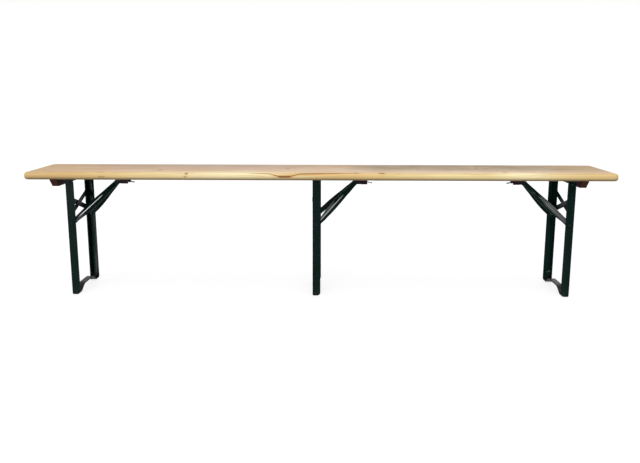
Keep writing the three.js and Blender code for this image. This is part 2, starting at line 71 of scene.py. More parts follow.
# Studio
FLOOR_REACH = 60.0
FLOOR_DIFFUSE = 0.3
FLOOR_SEEN_GLOW = 0.8
AMBIENT_LEVEL = 0.55
FRONT_LAMP = {"energy": 1.6, "elevation": 5, "azimuth": -24, "softness": 10}
SKY_LAMP = {"energy": 0.85, "elevation": 72, "azimuth": -8, "softness": 60}
BACK_LAMP = {"energy": 0.4, "elevation": 30, "azimuth": 165, "softness": 50}

# Board
BOARD_LOW, BOARD_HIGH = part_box("seat_board")
BOARD_CORNER = 22 * MM
BOARD_EDGE = 9 * MM
BOARD_CORNER_STEPS = 14
BOARD_EDGE_STEPS = 10

# The board is glued from two planks: where they meet, how far the back one's grain is moved along,
# and where each one's pith lies
GLUE_LINE_Y = 22 * MM
GLUE_LINE_FADE = (0.6 * MM, 0.2 * MM)
BACK_PLANK_SHIFT = 3.7
FRONT_PITH_Y = -55 * MM
BACK_PITH_STEP = 110 * MM
PITH_Z = 335 * MM

# Tones of the pine, as linear colours
PINE_CREAM = (0.87, 0.69, 0.32, 1)
PINE_PALE = (0.97, 0.85, 0.52, 1)
PINE_PINK = (0.76, 0.555, 0.40, 1)
PINE_DULL = (0.47, 0.345, 0.26, 1)
PINE_HONEY = (0.72, 0.44, 0.19, 1)
SHADE_AND_GRIME_TONE = (0.17, 0.12, 0.065, 1)

# Tones laid over the pine, each with how much of it shows where its mask is full
PINE_GREY = ((0.215, 0.152, 0.055, 1), 0.85)
PINE_BROWN = ((0.62, 0.40, 0.19, 1), 0.7)
PINE_CLOUD = ((0.86, 0.77, 0.66, 1), 0.7)
PINE_LATE = ((0.56, 0.33, 0.13, 1), 0.42)
PINE_FIBRE = ((0.52, 0.33, 0.18, 1), 0.3)
KNOT_HALO = (PINE_HONEY, 0.4)
FLAME_BAND = (PINE_HONEY, 0.35)
FLAME_GLOW = ((0.95, 0.61, 0.26, 1), 0.6)
FLAME_LINE = ((0.36, 0.14, 0.022, 1), 0.95)
KNOT_DARK = ((0.20, 0.070, 0.026, 1), 0.95)
GLUE_DARK = ((0.36, 0.22, 0.11, 1), 0.45)

# Where the board's broad tones start and where they are full, how strong the painted shade under it (partly
# grime) and along its back edge is, and how far the borders of the tones wander
FRONT_FADE = (BOARD_LOW.y + 50 * MM, BOARD_LOW.y + 7 * MM)
PALE_FADE = (BOARD_LOW.y + 75 * MM, BOARD_LOW.y + 7 * MM)
BACK_FADE = (BOARD_LOW.y + 45 * MM, BOARD_HIGH.y - 25 * MM)
GREY_FADE_X = (30 * MM, 240 * MM)
GREY_FADE_Y = (BOARD_LOW.y + 25 * MM, 10 * MM)
UNDER_FADE = (BOARD_LOW.z + 17 * MM, BOARD_LOW.z + 1 * MM)
UNDER_SHADE_AND_GRIME = 0.92
BEHIND_FADE = (BOARD_HIGH.y - 19 * MM, BOARD_HIGH.y - 6 * MM)
BEHIND_SHADE = 0.7
TONE_WANDER = (1.6, 14.0, 14.0)
TONE_WANDER_REACH = 60 * MM

# Stretches of the board with paler or browner wood: centre and half length along X, and strength
PALE_STRETCHES = ((-0.35, 0.30, 1.0), (0.745, 0.11, 1.0), (0.45, 0.25, 0.4))
BROWN_STRETCHES = ((-1.10, 0.28, 1.0), (0.03, 0.13, 0.5), (1.08, 0.18, 0.7))

# Knots in the board: centre and half sizes in millimetres, and how dark
KNOTS = (
    ((-128, -125, 466.5), (25, 20, 3.2), 1.0),
    ((-805, -125, 465), (13, 20, 4), 0.45),
    ((-813, -108, 480), (16, 8, 8), 0.4),
    ((-491, -119, 478), (6, 8, 5), 0.8),
    ((-495, -126, 466), (5, 8, 2.6), 0.6),
    ((-609, -47, 480), (10, 11, 9), 0.6),
    ((-125, -1, 480), (10, 12, 9), 0.5),
    ((65, 51, 480), (30, 8, 9), 0.55),
    ((135, -108, 480), (10, 10, 8), 0.7),
    ((230, -111, 480), (13, 10, 8), 1.0),
    ((376, -20, 480), (11, 11, 9), 0.75),
    ((613, 32, 480), (12, 13, 9), 1.0),
    ((693, -76, 480), (11, 10, 9), 0.75),
    ((846, -50, 480), (9, 9, 9), 0.5),
    ((989, -125, 458), (7, 9, 3), 0.7),
)

# A knot's parts, in half sizes from its centre: its frayed rim, its lighter heart and its honey halo;
# then how widely and how far it bends the rings
KNOT_FRAY = {"scale": 260.0, "detail": 2.0}
KNOT_FRAY_REACH = 0.5
KNOT_RIM_FADE = (1.45, 1.0)
KNOT_HEART_FADE = (0.2, 0.8, 0.65, 1.0)
KNOT_HALO_FADE = (2.8, 0.9)
KNOT_BEND_SHARES = (0.3, 0.7, 0.7)
KNOT_BEND_HEIGHT = 0.4

# The brown line round the largest knot, on the front edge unrolled with the top: its height there, how far
# and how wide it dips at the knot, and the run in which it rises by one on the right half of the board
EDGE_UNROLL = BOARD_LOW.y + BOARD_HIGH.z - BOARD_EDGE
FLAME_LEVEL = 11.5 * MM
FLAME_DIP = 13 * MM
FLAME_DIP_X = -128 * MM
FLAME_DIP_WIDTH = 48 * MM
FLAME_DIP_POWER = 4.0
FLAME_RISE = 22
FLAME_SHAKE = (30, 90, 90)
FLAME_SHAKE_REACH = 3 * MM

# Where that line starts and ends, half its thickness left and right of the knot, how it thins out again,
# and how soft its edges are
FLAME_START = (-0.29, -0.21)
FLAME_END = (0.36, 0.03)
FLAME_THICKENING = (-0.10, -0.05, 2.2 * MM, 5.2 * MM)
FLAME_THINNING = (0.0, 0.30, 1.0, 0.5)
FLAME_SOFTNESS = (1.3, 0.6)

# The brown band above the line and the orange glow below it: their lower and upper fades, measured from
# the line, and where the glow starts along it
BAND_FADES = ((-0.5 * MM, 1 * MM), (20 * MM, 3 * MM))
GLOW_FADES = ((-16 * MM, -6 * MM), (0.0, -2 * MM))
GLOW_START = (-0.06, 0.0)

# Grain that both woods share: how often each pattern changes in a metre, along the grain and across it,
# and where the late wood of a ring starts and ends
RING_DRIFT = (1.1, 7.0, 7.0)
RING_TREMOR = (9.0, 60.0, 60.0)
RING_TREMOR_SHARE = 0.12
LATE_WOOD_FADES = ((0.3, 0.86), (1.0, 0.9))
FIBRE_THREADS = (14.0, 900.0, 900.0)
WOOD_CLOUDS = (1.6, 16.0, 16.0)

# Varnished pine: its rings, how its masks fade, its surface
PINE_RINGS = {"Ring Width": 4.2 * MM, "Waviness": 13 * MM}
PINE_CLOUD_FADE = (0.42, 0.66)
PINE_FIBRE_FADE = (0.5, 0.8)
VARNISH_WEAR = {"scale": 9.0, "detail": 4.0}
VARNISH_ROUGHNESS = (0.3, 0.7, 0.34, 0.46)
VARNISH_FIBRE_ROUGHNESS = 0.12
VARNISH_GLOSS = 0.08
PINE_RELIEF = {"rings": 0.7, "fibre": 0.5, "knots": -0.8}
PINE_RELIEF_DEPTH = (0.35, 0.25 * MM)

# Stained battens: their tones, rings and surface
STAIN_DARK = (0.046, 0.0130, 0.0090, 1)
STAIN_LIGHT = (0.075, 0.0165, 0.0085, 1)
STAIN_LATE = ((0.018, 0.006, 0.005, 1), 0.6)
STAIN_FIBRE = ((0.085, 0.030, 0.018, 1), 0.2)
STAIN_FADE = (0.35, 0.7)
BATTEN_RINGS = {"Pith": (0.0, 0.97, 0.40), "Ring Width": 3.5 * MM, "Waviness": 20 * MM, "Bend": 0.0}
STAIN_ROUGHNESS = (0.2, 0.8, 0.5, 0.7)
STAIN_GLOSS = 0.06
BATTEN_RELIEF_DEPTH = (0.5, 0.3 * MM)

# Coated steel: a dark, a light and a bare tone, how metallic and how rough it is, how chipped its edges are,
# how rippled its film is, and its gloss
GREEN_PAINT = {
    "dark": (0.0012, 0.0092, 0.0072, 1), "light": (0.0022, 0.0115, 0.0098, 1),
    "bare": (0.035, 0.04, 0.04, 1), "rough": 0.24, "chips": 0.35, "ripple": 0.10, "gloss": 0.05}
STEEL_FINISHES = {
    "catch_steel": {
        "dark": (0.011, 0.0058, 0.0090, 1), "light": (0.017, 0.0090, 0.0150, 1),
        "bare": (0.08, 0.065, 0.075, 1),
        "rough": 0.45, "chips": 0.4, "ripple": 0.15, "gloss": 0.05},
    "spring_steel": {
        "dark": (0.05, 0.05, 0.055, 1), "light": (0.08, 0.08, 0.085, 1), "bare": (0.25, 0.25, 0.25, 1),
        "metal": 0.7, "rough": 0.35, "chips": 0.6, "ripple": 0.10, "gloss": 0.3},
    "rivet_paint": {
        "dark": (0.0012, 0.009, 0.0075, 1), "light": (0.003, 0.012, 0.01, 1), "bare": (0.09, 0.09, 0.088, 1),
        "rough": 0.30, "chips": 0.8, "ripple": 0.12, "gloss": 0.08},
    "screw_zinc": {
        "dark": (0.42, 0.42, 0.40, 1), "light": (0.55, 0.54, 0.50, 1), "bare": (0.7, 0.7, 0.68, 1),
        "metal": 1.0, "rough": 0.28, "chips": 0.4, "ripple": 0.08, "gloss": 0.5},
}

# Wear on coated steel: its patterns, where they start and are full, and how far each shows
EDGE_WIDTH = 1.2 * MM
EDGE_SAMPLES = 4
EDGE_TURN_FADE = (0.03, 0.16)
EDGE_PATCHES = {"scale": 55.0, "detail": 4.0, "roughness": 0.65}
EDGE_PATCH_FADE = (0.46, 0.62)
EDGE_METAL = 0.6
DUST_HEIGHT = 50 * MM
DUST_SPECKS = {"scale": 140.0, "detail": 4.0, "roughness": 0.7}
DUST_SPECK_FADE = (0.4, 0.75)
DUST = ((0.10, 0.085, 0.07, 1), 0.22)
DUST_ROUGHNESS = 0.3
FILM_RIPPLE = {"scale": 420.0, "detail": 2.0, "roughness": 0.4}
FILM_DEPTH = 0.2 * MM
FILM_TONE = {"scale": 11.0, "detail": 3.0, "roughness": 0.5}
FILM_TONE_FADE = (0.35, 0.65)
FILM_TONE_ROUGHNESS = 0.12

# Painted highlights and reflections on the front arms' paint: from and to along the arm and across it, in
# metres from its hinge, then how light and how streaky
ARM_PLACE = "arm_place"
HIGHLIGHT_TONE = (0.90, 0.94, 0.94, 1)
HIGHLIGHT_SOFTNESS = 0.7 * MM
HIGHLIGHT_RUN_OUT = 20 * MM
HIGHLIGHT_STREAKS = (14.0, 620.0, 9.0)
HIGHLIGHT_STREAK_FADE = (0.40, 0.62)
HIGHLIGHT_SIDE_FADE = (0.5, -0.5)
ARM_HIGHLIGHTS = {
    "left": ((0.030, 0.147, -0.0006, 0.0018, 1.0, 0.0), (-0.010, 0.060, -0.016, -0.002, 0.11, 0.6)),
    "middle": ((0.010, 0.150, 0.0005, 0.0040, 0.50, 0.4), (0.000, 0.110, 0.0040, 0.0140, 0.12, 0.6)),
    "right": ((-0.010, 0.120, -0.0070, 0.0120, 0.14, 0.7), (0.030, 0.150, -0.0010, 0.0010, 0.40, 0.7),
              (0.030, 0.150, 0.0050, 0.0070, 0.35, 0.7), (0.030, 0.120, 0.0095, 0.0125, 0.25, 0.2)),
}

# The painted sheen on the foot bars' upper faces, and the scratch on the right frame's back upright
FOOT_BAR_SHEEN_TONE = (0.075, 0.062, 0.066, 1)
FOOT_BAR_UP_FADE = (0.15, 0.5)
FOOT_BAR_RISE_FADE = (6 * MM, 18 * MM)
FOOT_BAR_PATCHES = {"scale": 60.0, "detail": 4.0, "roughness": 0.6}
FOOT_BAR_PATCH_FADE = (0.35, 0.65, 0.4, 1.0)
SCRATCH = (Vector((0.9386, 0.091, 0.0383)), Vector((0.9520, 0.091, 0.0435)))
SCRATCH_TONE = (0.20, 0.30, 0.25, 1)
SCRATCH_FADE = (1.6 * MM, 0.4 * MM)
SCRATCH_START_DEPTH = 0.3

# Rounded edges of the metal and the battens
MERGE_DISTANCE = 0.01 * MM
FLAT_ANGLE = math.radians(0.6)
SHARP_ANGLE = math.radians(40)
STEEL_EDGE = 0.7 * MM
STEEL_HOLLOW = 1.9 * MM
SHEET_EDGE = 0.4 * MM
SHEET_HOLLOW = 0.8 * MM
BATTEN_EDGE = 1.6 * MM
RIVET_EDGE = 0.6 * MM
EDGE_STEPS = 2
HOLLOW_STEPS = 3
FLAT_FACE_WEIGHT = 100

# The folded corner of a hinge bracket: its radius, and how squarely the faces on its two sides must lie
BRACKET_BEND = 2.6 * MM
BEND_STEPS = 5
BEND_TOP_ALIGNMENT = 0.9
BEND_SIDE_ALIGNMENT = 0.8

# How each kind of node is dressed: the start of its piece's name, its material, the record's slot,
# how far its edges are rounded and how far its hollow corners are filled
GREEN = ("painted", "green_paint", "green_paint")
RIVET = ("rivet_paint", "rivet_steel", RIVET_EDGE, 0.0)
DRESSES = {
    "upright": (*GREEN, STEEL_EDGE, STEEL_HOLLOW),
    "hinge_bracket": (*GREEN, SHEET_EDGE, SHEET_HOLLOW),
    "brace_arm": (*GREEN, SHEET_EDGE, 0.0),
    "hinge_rivet": ("domed", *RIVET),
    "brace_rivet": ("domed", *RIVET),
    "foot_bar": ("painted", "foot_bar_sheen_paint", "green_paint", STEEL_EDGE, 0.0),
    "cross_bar_lapped": (*GREEN, STEEL_EDGE, 0.0),
    "cross_bar_butted": (*GREEN, STEEL_EDGE, 0.0),
    "brace_yoke": (*GREEN, STEEL_EDGE, 0.0),
    "brace_pin": ("turned", *RIVET),
    "catch_rivet": ("turned", *RIVET),
    "catch_housing": ("pressed", "catch_steel", "catch_steel", SHEET_EDGE, SHEET_HOLLOW),
    "catch_lever": ("sprung", "spring_steel", "spring_steel", SHEET_EDGE, 0.0),
    "end_batten": ("stained", "brown_batten", "brown_batten", BATTEN_EDGE, 0.0),
}
FRAME_KINDS = ("foot_bar", "cross_bar_lapped", "cross_bar_butted", "brace_yoke", "brace_pin", "catch_rivet",
               "catch_housing", "catch_lever")

# Welds: the bead's sizes, how it runs out at its ends, and where the spot welds lie on an upright
WELD_SIZES = {"Bead Radius": 1.7 * MM, "Ripple": 0.28, "Step": 0.6 * MM, "Sides": 10}
WELD_RIPPLE_STEPS = 5
WELD_RUN_OUT = 2.5
WELD_END_SHARE = 0.3
WELD_LAP = 13 * MM
WELD_LOWEST = 2 * MM
YOKE_FLATNESS = 0.1 * MM
SPOT_U = 17 * MM
SPOT_Z = 15 * MM
SPOT_RADIUS = 7 * MM
SPOT_STEPS = 16
PLACE_DIGITS = 5

# Wood screws: their sizes, the rings and roundness of the head, and how far the shank is raised from it,
# as a share of the shank's length
SCREW_SIZES = {
    "Head Radius": 4.2 * MM, "Head Height": 2.4 * MM, "Shank Radius": 2.0 * MM, "Shank Length": 12 * MM,
    "Recess Width": 0.9 * MM, "Recess Depth": 1.4 * MM, "Sides": 28, "Seed": 7}
SCREW_HEAD_RINGS = 5
SCREW_ROUNDNESS = 0.72
SCREW_SHANK_RISE = 0.48

# Where the screws stand, from each frame's outer face and from the bench's middle, and the sheet below them
BRACKET_SCREW_U = 15 * MM
BRACKET_SCREW_YS = (58.7 * MM, 76.7 * MM)
BRACKET_WALL = 3 * MM
CATCH_SCREW_US = (160 * MM, 198 * MM)
CATCH_SCREW_Y = 24 * MM
CATCH_PLATE = 2 * MM
BATTEN_SCREW_YS = (-80 * MM, 0, 80 * MM)

# Sockets that share a name with others and go by their number: a colour Mix node's factor, its two colours
# and its result, and a Random Value node's greatest number and its result
COLOUR_MIX_INPUTS = (0, 6, 7)
COLOUR_MIX_RESULT = 2
RANDOM_NUMBER_MOST = 3
RANDOM_NUMBER_RESULT = 1

# The kind of input that each kind of value asks for
SOCKET_KINDS = {tuple: "Vector", float: "Float", int: "Int"}


# Node trees

class Graph:
    """Adds nodes to a tree and links them."""

    def __init__(self, tree):
        self.tree = tree

    def add(self, kind, inputs=None, **settings):
        node = self.tree.nodes.new(kind)
        for name, value in settings.items():
            setattr(node, name, value)
        for name, value in (inputs or {}).items():
            self.feed(node.inputs[name], value)
        return node

    def made(self, kind, inputs=None, **settings):
        """The first output of a new node."""
        return self.add(kind, inputs, **settings).outputs[0]

    def feed(self, socket, value):
        """Gives a socket a link, several links in a list, or a plain value."""
        if isinstance(value, list):
            for each in value:
                self.feed(socket, each)
        elif isinstance(value, bpy.types.NodeSocket):
            self.tree.links.new(value, socket)
        else:
            socket.default_value = value

    def give(self, out, **results):
        for name, value in results.items():
            self.feed(out.inputs[name], value)

    def math(self, operation, *values):
        node = self.tree.nodes.new("ShaderNodeMath")
        node.operation = operation
        for socket, value in zip(node.inputs, values):
            self.feed(socket, value)
        return node.outputs[0]

    def product(self, first, *others):
        for other in others:
            first = self.math("MULTIPLY", first, other)
        return first

    def bell(self, offset, power=2.0, steepness=1.0):
        """1 where the offset is 0, falling off on both sides."""
        return self.math("EXPONENT", self.math("MULTIPLY", self.math("POWER", offset, power), -steepness))

    def vector(self, operation, *values, output="Vector"):
        node = self.tree.nodes.new("ShaderNodeVectorMath")
        node.operation = operation
        for socket, value in zip(node.inputs, values):
            self.feed(socket, value)
        return node.outputs[output]

    def combine(self, x, y, z):
        return self.made("ShaderNodeCombineXYZ", {"X": x, "Y": y, "Z": z})

    def parts(self, vector):
        return self.add("ShaderNodeSeparateXYZ", {"Vector": vector}).outputs

    def mix(self, share, first, second, blend="MIX"):
        node = self.tree.nodes.new("ShaderNodeMix")
        node.data_type = "RGBA"
        node.blend_type = blend
        for number, value in zip(COLOUR_MIX_INPUTS, (share, first, second)):
            self.feed(node.inputs[number], value)
        return node.outputs[COLOUR_MIX_RESULT]

    def tint(self, colour, mask, tone, share, blend="MIX"):
        """Lays a tone over a colour where the mask is, as strongly as the share says."""
        return self.mix(self.math("MULTIPLY", mask, share), colour, tone, blend)

    def noise(self, vector, scale, detail=3.0, roughness=0.5):
        inputs = {"Vector": vector, "Scale": scale, "Detail": detail, "Roughness": roughness}
        return self.made("ShaderNodeTexNoise", inputs)

    def drawn_noise(self, vector, changes, detail=3.0, roughness=0.5):
        """Noise that changes so many times in a metre along X, Y and Z."""
        return self.noise(self.vector("MULTIPLY", vector, changes), 1.0, detail, roughness)

    def swing(self, vector, changes, detail=3.0):
        """Drawn out noise that swings about 0."""
        return self.math("SUBTRACT", self.drawn_noise(vector, changes, detail), 0.5)

    def spread(self, value, low, high, to_low=0.0, to_high=1.0):
        inputs = {"Value": value, "From Min": low, "From Max": high, "To Min": to_low, "To Max": to_high}
        return self.made("ShaderNodeMapRange", inputs, interpolation_type="SMOOTHSTEP")

    def window(self, value, rise, fall):
        """1 between a rise and a fall."""
        return self.product(self.spread(value, *rise), self.spread(value, *fall))

    def raised(self, geometry, height):
        place = self.combine(0.0, 0.0, height)
        return self.made("GeometryNodeTransform", {"Geometry": geometry, "Translation": place})

    def group(self, tree, inputs):
        node = self.tree.nodes.new("ShaderNodeGroup")
        node.node_tree = tree
        for name, value in inputs.items():
            self.feed(node.inputs[name], value)
        return node.outputs


def new_tree(name, kind, inputs, outputs):
    """A node group. An input is of its usual value's kind, or where it has none, of the kind its name says.
    Returns the group's graph, its input sockets and its output node."""
    tree = bpy.data.node_groups.new(name, kind)
    for label, value in inputs.items():
        word = SOCKET_KINDS.get(type(value), label)
        socket = tree.interface.new_socket(label, in_out="INPUT", socket_type=f"NodeSocket{word}")
        if value is not None:
            socket.default_value = value
    for label, word in outputs.items():
        tree.interface.new_socket(label, in_out="OUTPUT", socket_type=f"NodeSocket{word}")
    return Graph(tree), tree.nodes.new("NodeGroupInput").outputs, tree.nodes.new("NodeGroupOutput")


def pattern_tree(name, labels, values=None):
    """A shader group that turns a place, and a few values, into masks and numbers."""
    inputs = {"Vector": None, **(values or {})}
    return new_tree(name, "ShaderNodeTree", inputs, dict.fromkeys(labels, "Float"))


def growth_tree(name, sizes):
    """A geometry group with one input for each named size, a whole number where it is a count."""
    inputs = {"Geometry": None, "Material": None, **sizes}
    return new_tree(name, "GeometryNodeTree", inputs, {"Geometry": "Geometry"})


def grey(level):
    return (level, level, level, 1.0)


def new_material(name):
    """A new material, its graph, its shader, and the place that its patterns are drawn from."""
    material = bpy.data.materials.new(name)
    material.use_nodes = True
    graph = Graph(material.node_tree)
    shader = next(n for n in material.node_tree.nodes if n.type == "BSDF_PRINCIPLED")
    return material, graph, shader, graph.add("ShaderNodeTexCoord").outputs["Object"]


def coat(graph, shader, colour, roughness, gloss, relief, strength, depth):
    """Feeds a material's shader with its colour, its roughness, its gloss and its relief."""
    graph.feed(shader.inputs["Base Color"], colour)
    graph.feed(shader.inputs["Roughness"], roughness)
    shader.inputs["Specular IOR Level"].default_value = gloss
    bump = graph.made("ShaderNodeBump", {"Strength": strength, "Distance": depth, "Height": relief})
    graph.feed(shader.inputs["Normal"], bump)


# Finishes that several materials share

def make_wood_rings():
    """Growth rings round a pith that runs along X, wavy along the board and bent aside by a given amount."""
    graph, given, out = pattern_tree("wood_rings", ("Rings", "Fibre", "Cloud"), {
        "Pith": (0.0, 0.0, 0.0), "Ring Width": 4 * MM, "Waviness": 10 * MM, "Bend": 0.0})
    place = given["Vector"]
    drift = graph.swing(place, RING_DRIFT, 2.0)
    tremor = graph.swing(place, RING_TREMOR, 2.0)
    offset = graph.vector("SUBTRACT", place, given["Pith"])
    across = graph.vector("MULTIPLY", offset, (0.0, 1.0, 1.0))
    radius = graph.vector("LENGTH", across, output="Value")
    wave = graph.product(given["Waviness"], 2.0, drift)
    shiver = graph.product(given["Waviness"], RING_TREMOR_SHARE, tremor)
    bent = graph.math("ADD", graph.math("ADD", radius, wave), graph.math("ADD", shiver, given["Bend"]))
    phase = graph.math("FRACT", graph.math("DIVIDE", bent, given["Ring Width"]))
    graph.give(out, Rings=graph.window(phase, *LATE_WOOD_FADES),
               Fibre=graph.drawn_noise(place, FIBRE_THREADS, 3.0, 0.6),
               Cloud=graph.drawn_noise(place, WOOD_CLOUDS, 3.0, 0.55))
    return graph.tree


def make_steel_wear():
    """What shows on coated steel: bare edges, dust near the floor, and the film's ripple and tone."""
    graph, given, out = pattern_tree("steel_wear", ("Edges", "Dust", "Ripple", "Tone"), {"Chips": 0.5})
    place = given["Vector"]
    rounded = graph.made("ShaderNodeBevel", {"Radius": EDGE_WIDTH}, samples=EDGE_SAMPLES)
    normal = graph.add("ShaderNodeNewGeometry").outputs["Normal"]
    turn = graph.math("SUBTRACT", 1.0, graph.vector("DOT_PRODUCT", rounded, normal, output="Value"))
    patches = graph.spread(graph.noise(place, **EDGE_PATCHES), *EDGE_PATCH_FADE)
    edges = graph.product(graph.spread(turn, *EDGE_TURN_FADE), patches, given["Chips"])
    low = graph.spread(graph.parts(place)["Z"], DUST_HEIGHT, 0.0)
    specks = graph.spread(graph.noise(place, **DUST_SPECKS), *DUST_SPECK_FADE)
    graph.give(out, Edges=edges, Dust=graph.product(low, specks), Ripple=graph.noise(place, **FILM_RIPPLE),
               Tone=graph.noise(place, **FILM_TONE))
    return graph.tree


WOOD_RINGS = make_wood_rings()
STEEL_WEAR = make_steel_wear()


# Patterns of the board

def make_board_tones():
    """Board tones: front edge, dull back, greyer half, pale and brown stretches, painted shade and some
    grime.
    """
    graph, given, out = pattern_tree("board_tones", ("Front", "Back", "Grey", "Grime", "Pale", "Brown"))
    parts = graph.parts(given["Vector"])
    wander = graph.product(graph.swing(given["Vector"], TONE_WANDER), TONE_WANDER_REACH)
    y = graph.math("ADD", parts["Y"], wander)
    grey_half = graph.product(graph.spread(parts["X"], *GREY_FADE_X), graph.spread(y, *GREY_FADE_Y))
    # Painted shade: darker on the underside, partly grime, and along the back edge, which faces away from
    # the light
    below = graph.product(graph.spread(parts["Z"], *UNDER_FADE), UNDER_SHADE_AND_GRIME)
    behind = graph.product(graph.spread(parts["Y"], *BEHIND_FADE), BEHIND_SHADE)
    graph.give(out, Front=graph.spread(y, *FRONT_FADE), Back=graph.spread(y, *BACK_FADE), Grey=grey_half,
               Grime=graph.math("MAXIMUM", below, behind))
    for label, stretches in (("Pale", PALE_STRETCHES), ("Brown", BROWN_STRETCHES)):
        total = 0.0
        for centre, half_length, strength in stretches:
            offset = graph.math("DIVIDE", graph.math("SUBTRACT", parts["X"], centre), half_length)
            total = graph.math("MAXIMUM", total, graph.product(graph.bell(offset), strength))
        graph.give(out, **{label: total})
    return graph.tree


def make_flame():
    """The line that sweeps round the largest knot, the brown band above it and the orange glow below it."""
    graph, given, out = pattern_tree("board_flame", ("Line", "Band", "Glow"))
    parts = graph.parts(given["Vector"])
    x = parts["X"]
    height = graph.math("SUBTRACT", graph.math("ADD", parts["Y"], parts["Z"]), EDGE_UNROLL)
    offset = graph.math("DIVIDE", graph.math("SUBTRACT", x, FLAME_DIP_X), FLAME_DIP_WIDTH)
    dip = graph.bell(offset, FLAME_DIP_POWER)
    rise = graph.math("DIVIDE", graph.math("MAXIMUM", x, 0.0), FLAME_RISE)
    level = graph.math("SUBTRACT", graph.math("ADD", rise, FLAME_LEVEL), graph.product(dip, FLAME_DIP))
    shake = graph.product(graph.swing(given["Vector"], FLAME_SHAKE), FLAME_SHAKE_REACH)
    above = graph.math("ADD", graph.math("SUBTRACT", height, level), shake)
    length = graph.window(x, FLAME_START, FLAME_END)
    half = graph.product(graph.spread(x, *FLAME_THICKENING), graph.spread(x, *FLAME_THINNING))
    thin = graph.spread(graph.math("DIVIDE", graph.math("ABSOLUTE", above), half), *FLAME_SOFTNESS)
    graph.give(out, Line=graph.product(thin, length),
               Band=graph.product(graph.window(above, *BAND_FADES), length, dip),
               Glow=graph.product(graph.window(above, *GLOW_FADES), graph.spread(x, *GLOW_START), length))
    return graph.tree


def make_knots():
    """The board's knots: how far each bends the rings, where it is dark, and the honey tone round it."""
    graph, given, out = pattern_tree("board_knots", ("Bend", "Core", "Halo"))
    bend, core, halo = 0.0, 0.0, 0.0
    fray = graph.product(graph.noise(given["Vector"], **KNOT_FRAY), KNOT_FRAY_REACH)
    for centre, size, strength in KNOTS:
        offset = graph.vector("SUBTRACT", given["Vector"], tuple(c * MM for c in centre))
        scaled = graph.vector("MULTIPLY", offset, tuple(1 / (s * MM) for s in size))
        distance = graph.vector("LENGTH", scaled, output="Value")
        drawn_in = graph.vector("MULTIPLY", scaled, KNOT_BEND_SHARES)
        reach = graph.vector("LENGTH", drawn_in, output="Value")
        height = sum(size) / len(size) * KNOT_BEND_HEIGHT * MM
        bend = graph.math("ADD", bend, graph.product(graph.bell(reach, steepness=0.5), height))
        rim = graph.product(graph.spread(graph.math("ADD", distance, fray), *KNOT_RIM_FADE), strength)
        core = graph.math("MAXIMUM", core, graph.product(rim, graph.spread(distance, *KNOT_HEART_FADE)))
        halo = graph.math("MAXIMUM", halo, graph.product(graph.spread(distance, *KNOT_HALO_FADE), strength))
    graph.give(out, Bend=bend, Core=core, Halo=halo)
    return graph.tree


# Materials

def make_pine():
    """Varnished pine: creamy along the front edge, pinkish on top and duller at the back, with its knots."""
    material, graph, shader, place = new_material("pine_board")
    knots = graph.group(make_knots(), {"Vector": place})
    tones = graph.group(make_board_tones(), {"Vector": place})
    flame = graph.group(make_flame(), {"Vector": place})
    y = graph.parts(place)["Y"]
    back = graph.math("GREATER_THAN", y, GLUE_LINE_Y)
    shift = graph.combine(graph.product(back, BACK_PLANK_SHIFT), 0.0, 0.0)
    pith_y = graph.math("ADD", graph.product(back, BACK_PITH_STEP), FRONT_PITH_Y)
    rings = graph.group(WOOD_RINGS, {
        "Vector": graph.vector("ADD", place, shift), "Pith": graph.combine(0.0, pith_y, PITH_Z),
        "Bend": knots["Bend"], **PINE_RINGS})
    top = graph.tint(graph.mix(tones["Back"], PINE_PINK, PINE_DULL), tones["Grey"], *PINE_GREY)
    colour = graph.mix(tones["Front"], top, PINE_CREAM)
    colour = graph.mix(graph.product(tones["Pale"], graph.spread(y, *PALE_FADE)), colour, PINE_PALE)
    colour = graph.tint(colour, tones["Brown"], *PINE_BROWN)
    colour = graph.tint(colour, graph.spread(rings["Cloud"], *PINE_CLOUD_FADE), *PINE_CLOUD, "MULTIPLY")
    from_glue = graph.math("ABSOLUTE", graph.math("SUBTRACT", y, GLUE_LINE_Y))
    for mask, layer in (
            (rings["Rings"], PINE_LATE), (graph.spread(rings["Fibre"], *PINE_FIBRE_FADE), PINE_FIBRE),
            (knots["Halo"], KNOT_HALO), (flame["Band"], FLAME_BAND), (flame["Glow"], FLAME_GLOW),
            (flame["Line"], FLAME_LINE), (knots["Core"], KNOT_DARK),
            (graph.spread(from_glue, *GLUE_LINE_FADE), GLUE_DARK)):
        colour = graph.tint(colour, mask, *layer)
    # Painted shade, partly grime, on the underside and along the back edge
    colour = graph.mix(tones["Grime"], colour, SHADE_AND_GRIME_TONE)
    worn = graph.spread(graph.noise(place, **VARNISH_WEAR), *VARNISH_ROUGHNESS)
    roughness = graph.math("ADD", graph.product(rings["Fibre"], VARNISH_FIBRE_ROUGHNESS), worn)
    relief = graph.math("ADD", graph.product(rings["Rings"], PINE_RELIEF["rings"]),
                        graph.product(rings["Fibre"], PINE_RELIEF["fibre"]))
    relief = graph.math("ADD", relief, graph.product(knots["Core"], PINE_RELIEF["knots"]))
    coat(graph, shader, colour, roughness, VARNISH_GLOSS, relief, *PINE_RELIEF_DEPTH)
    return material


def make_batten_stain():
    """Dark brown stain on rough timber, its grain across the bench."""
    material, graph, shader, place = new_material("brown_batten")
    turned = graph.made("ShaderNodeMapping", {"Vector": place, "Rotation": (0.0, 0.0, math.pi / 2)})
    rings = graph.group(WOOD_RINGS, {"Vector": turned, **BATTEN_RINGS})
    colour = graph.mix(graph.spread(rings["Cloud"], *STAIN_FADE), STAIN_DARK, STAIN_LIGHT)
    colour = graph.tint(colour, rings["Rings"], *STAIN_LATE)
    colour = graph.tint(colour, rings["Fibre"], *STAIN_FIBRE)
    relief = graph.math("ADD", rings["Rings"], rings["Fibre"])
    coat(graph, shader, colour, graph.spread(rings["Fibre"], *STAIN_ROUGHNESS), STAIN_GLOSS, relief,
         *BATTEN_RELIEF_DEPTH)
    return material


